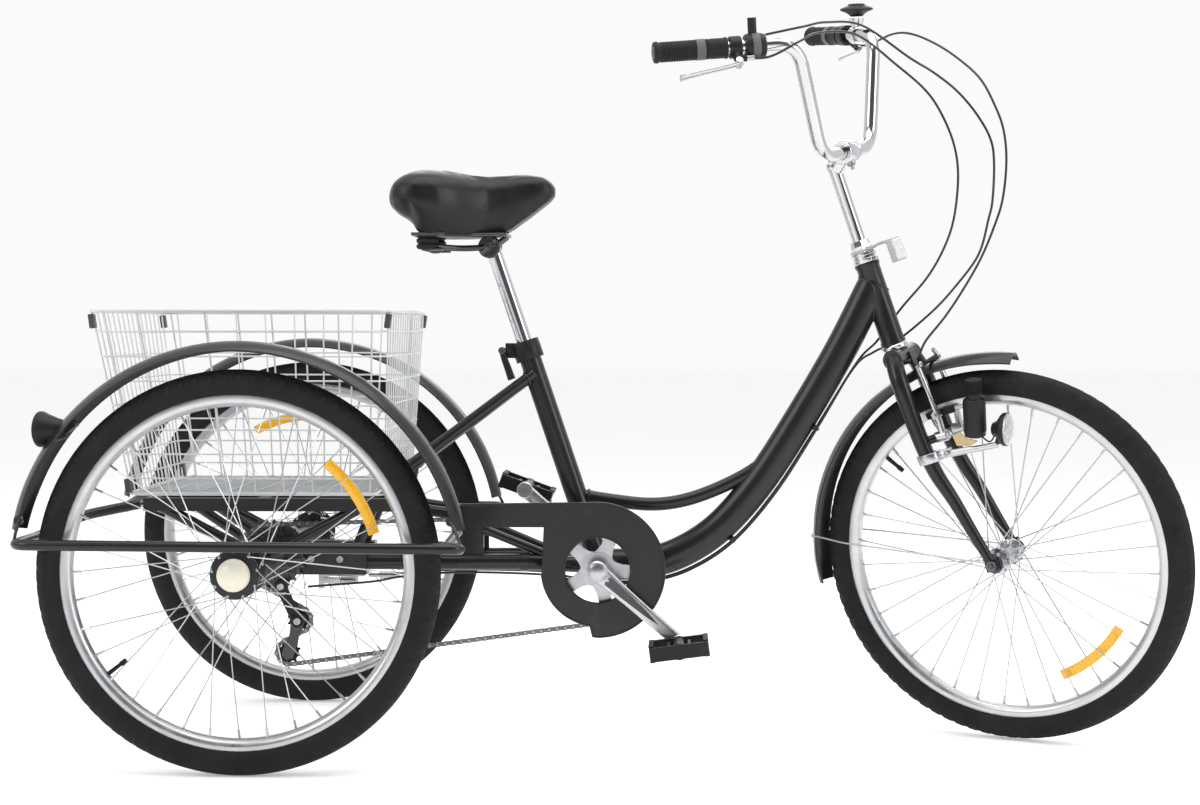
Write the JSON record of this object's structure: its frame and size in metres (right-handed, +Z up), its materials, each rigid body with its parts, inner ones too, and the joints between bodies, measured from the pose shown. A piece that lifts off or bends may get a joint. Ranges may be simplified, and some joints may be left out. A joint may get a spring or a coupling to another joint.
{
  "type": "adult tricycle",
  "caption": "Step-through adult tricycle with spoked wheels, an open wire basket between the rear wheels, a sprung saddle and a high handlebar.",
  "frame": {"origin": "on the ground, under the middle of the bounding box", "axes": "+X forward, +Y to the rider's left, +Z up"},
  "size_m": [1.7706, 0.7856, 1.1985],
  "materials": {
    "black_paint": "gloss black enamel",
    "chrome": "polished",
    "alloy": "satin",
    "steel": "satin",
    "tyre_rubber": "matt",
    "rubber": "matt, ribbed",
    "black_plastic": "matt",
    "black_vinyl": "smooth semi-gloss vinyl",
    "white_wire": "white coating",
    "cream_plastic": "gloss",
    "clear_plastic": "clear, faceted"
  },
  "bodies": {
    "frame": {"main_frame": "black_paint", "rear_frame": "black_paint", "brake_band": "alloy", "guard_tube_right": "black_paint", "guard_tube_left": "black_paint", "fender_right": "black_paint", "fender_left": "black_paint", "tail_light": "black_plastic", "basket": "white_wire", "seat_clamp": "black_paint", "chain_guard": "black_paint", "chain": "steel"},
    "seat": {"seatpost": "chrome", "saddle_base": "black_plastic", "saddle_pad": "black_vinyl"},
    "seat_lever": {"seat_lever": "steel"},
    "crank": {"chainring": "alloy", "crank_right": "alloy", "crank_left": "alloy"},
    "pedal_right": {"pedal_right": "black_plastic"},
    "pedal_left": {"pedal_left": "black_plastic"},
    "cassette": {"cassette": "steel"},
    "drive_axle": {"rear_axle": "steel", "spoked_wheel_right": "alloy", "tyre_right": "tyre_rubber", "hub_cap_right": "cream_plastic"},
    "wheel_left": {"spoked_wheel_left": "alloy", "tyre_left": "tyre_rubber", "hub_cap_left": "cream_plastic"},
    "brake_arm": {"brake_arm": "alloy"},
    "derailleur": {"derailleur_arm": "black_plastic"},
    "derailleur_cage": {"derailleur_cage": "black_plastic"},
    "steering": {"fork": "black_paint", "headset_nut": "chrome", "stem": "chrome", "handlebar": "chrome", "grip_right": "rubber", "grip_left": "rubber", "lever_bracket_right": "black_plastic", "lever_bracket_left": "black_plastic", "shifter_pod": "black_plastic", "bell_base": "black_plastic", "front_reflector": "clear_plastic", "fender_front": "black_paint", "lamp_bracket": "alloy", "head_lamp": "black_plastic", "front_brake_cable": "black_plastic", "rear_brake_cable": "black_plastic", "shift_cable": "black_plastic"},
    "front_wheel": {"spoked_wheel_front": "alloy", "tyre_front": "tyre_rubber"},
    "brake_lever_right": {"brake_lever_right": "chrome"},
    "brake_lever_left": {"brake_lever_left": "chrome"},
    "rim_brake_right": {"rim_brake_arm_right": "alloy"},
    "rim_brake_left": {"rim_brake_arm_left": "alloy"},
    "shift_lever": {"shift_lever": "black_plastic"},
    "bell": {"bell_dome": "black_plastic"},
    "dynamo": {"dynamo": "black_plastic"}
  },
  "joints": [
    {"name": "steering_turn", "type": "hinge", "parent": "frame", "child": "steering", "pos_m": [0.34755, 0, 0.9], "axis": [-0.3223, 0, 0.9466], "range_deg": [-16, 74], "deforming": ["rear_brake_cable", "shift_cable"]},
    {"name": "front_wheel_spin", "type": "hinge", "parent": "steering", "child": "front_wheel", "pos_m": [0.61243, -0.03131, 0.29868], "axis": [0.4561, 0.8763, 0.1553], "continuous": true},
    {"name": "crank_spin", "type": "hinge", "parent": "frame", "child": "crank", "pos_m": [-0.03275, 0, 0.28], "axis": [0, 1, 0], "continuous": true},
    {"name": "pedal_right_spin", "type": "hinge", "parent": "crank", "child": "pedal_right", "pos_m": [0.09575, 0, 0.16869], "axis": [0, 1, 0], "continuous": true},
    {"name": "pedal_left_spin", "type": "hinge", "parent": "crank", "child": "pedal_left", "pos_m": [-0.16124, 0, 0.39131], "axis": [0, 1, 0], "continuous": true},
    {"name": "cassette_spin", "type": "hinge", "parent": "frame", "child": "cassette", "pos_m": [-0.55375, 0, 0.3], "axis": [0, 1, 0], "continuous": true},
    {"name": "drive_axle_spin", "type": "hinge", "parent": "frame", "child": "drive_axle", "pos_m": [-0.55375, 0, 0.3], "axis": [0, 1, 0], "continuous": true},
    {"name": "wheel_left_spin", "type": "hinge", "parent": "frame", "child": "wheel_left", "pos_m": [-0.55375, 0, 0.3], "axis": [0, 1, 0], "continuous": true},
    {"name": "seat_height", "type": "slide", "parent": "frame", "child": "seat", "axis": [-0.3202, 0, 0.9473], "range_m": [-0.07, 0.08]},
    {"name": "seat_lever_swing", "type": "hinge", "parent": "frame", "child": "seat_lever", "pos_m": [-0.18902, 0, 0.624], "axis": [0, 1, 0], "range_deg": [0, 110]},
    {"name": "brake_lever_right_squeeze", "type": "hinge", "parent": "steering", "child": "brake_lever_right", "pos_m": [0.18446, -0.20701, 1.05873], "axis": [-0.1057, 0.7918, -0.6015], "range_deg": [0, 16], "stiffness_Nm_per_rad": 0.6, "springref_deg": -17.19},
    {"name": "brake_lever_left_squeeze", "type": "hinge", "parent": "steering", "child": "brake_lever_left", "pos_m": [0.39528, 0.19809, 1.1305], "axis": [0.6094, 0.1761, 0.773], "range_deg": [0, 16], "stiffness_Nm_per_rad": 0.6, "springref_deg": -17.19},
    {"name": "rim_brake_right_close", "type": "hinge", "parent": "steering", "child": "rim_brake_right", "pos_m": [0.51059, -0.0557, 0.49071], "axis": [-0.8296, 0.4818, -0.2824], "range_deg": [-0.02, 2.82]},
    {"name": "rim_brake_left_close", "type": "hinge", "parent": "steering", "child": "rim_brake_left", "pos_m": [0.54525, 0.0109, 0.50251], "axis": [0.8296, -0.4818, 0.2824], "range_deg": [-0.02, 2.82]},
    {"name": "brake_arm_pull", "type": "hinge", "parent": "frame", "child": "brake_arm", "pos_m": [-0.47375, -0.012, 0.264], "axis": [0, -1, 0], "range_deg": [-0.02, 12.02]},
    {"name": "derailleur_shift", "type": "slide", "parent": "frame", "child": "derailleur", "axis": [0, -1, 0], "range_m": [-0.0046, 0.023], "deforming": ["chain"]},
    {"name": "derailleur_tension", "type": "hinge", "parent": "derailleur", "child": "derailleur_cage", "pos_m": [-0.50775, 0, 0.197], "axis": [0, -1, 0], "range_deg": [-8, 25], "stiffness_Nm_per_rad": 0.8, "springref_deg": -28.65, "deforming": ["chain"]},
    {"name": "shift_lever_turn", "type": "hinge", "parent": "steering", "child": "shift_lever", "pos_m": [0.20878, -0.18243, 1.08682], "axis": [-0.9768, -0.196, -0.0863], "range_deg": [-10.1, 50.1]},
    {"name": "bell_twist", "type": "hinge", "parent": "steering", "child": "bell", "pos_m": [0.38907, 0.15056, 1.14623], "axis": [-0.0377, -0.1553, 0.9872], "range_deg": [-20, 20], "stiffness_Nm_per_rad": 0.05},
    {"name": "dynamo_tilt", "type": "hinge", "parent": "steering", "child": "dynamo", "pos_m": [0.55675, -0.08673, 0.49163], "axis": [-0.8296, 0.4818, -0.2824], "range_deg": [0, 9]}
  ],
  "couplings": [
    {"joint": "cassette_spin", "follows": "crank_spin", "ratio": 1.75},
    {"joint": "rim_brake_right_close", "follows": "brake_lever_left_squeeze", "ratio": 0.175},
    {"joint": "rim_brake_left_close", "follows": "brake_lever_left_squeeze", "ratio": 0.175},
    {"joint": "brake_arm_pull", "follows": "brake_lever_right_squeeze", "ratio": 0.75},
    {"joint": "shift_lever_turn", "follows": "derailleur_shift", "rad_per_m": 37.942}
  ]
}
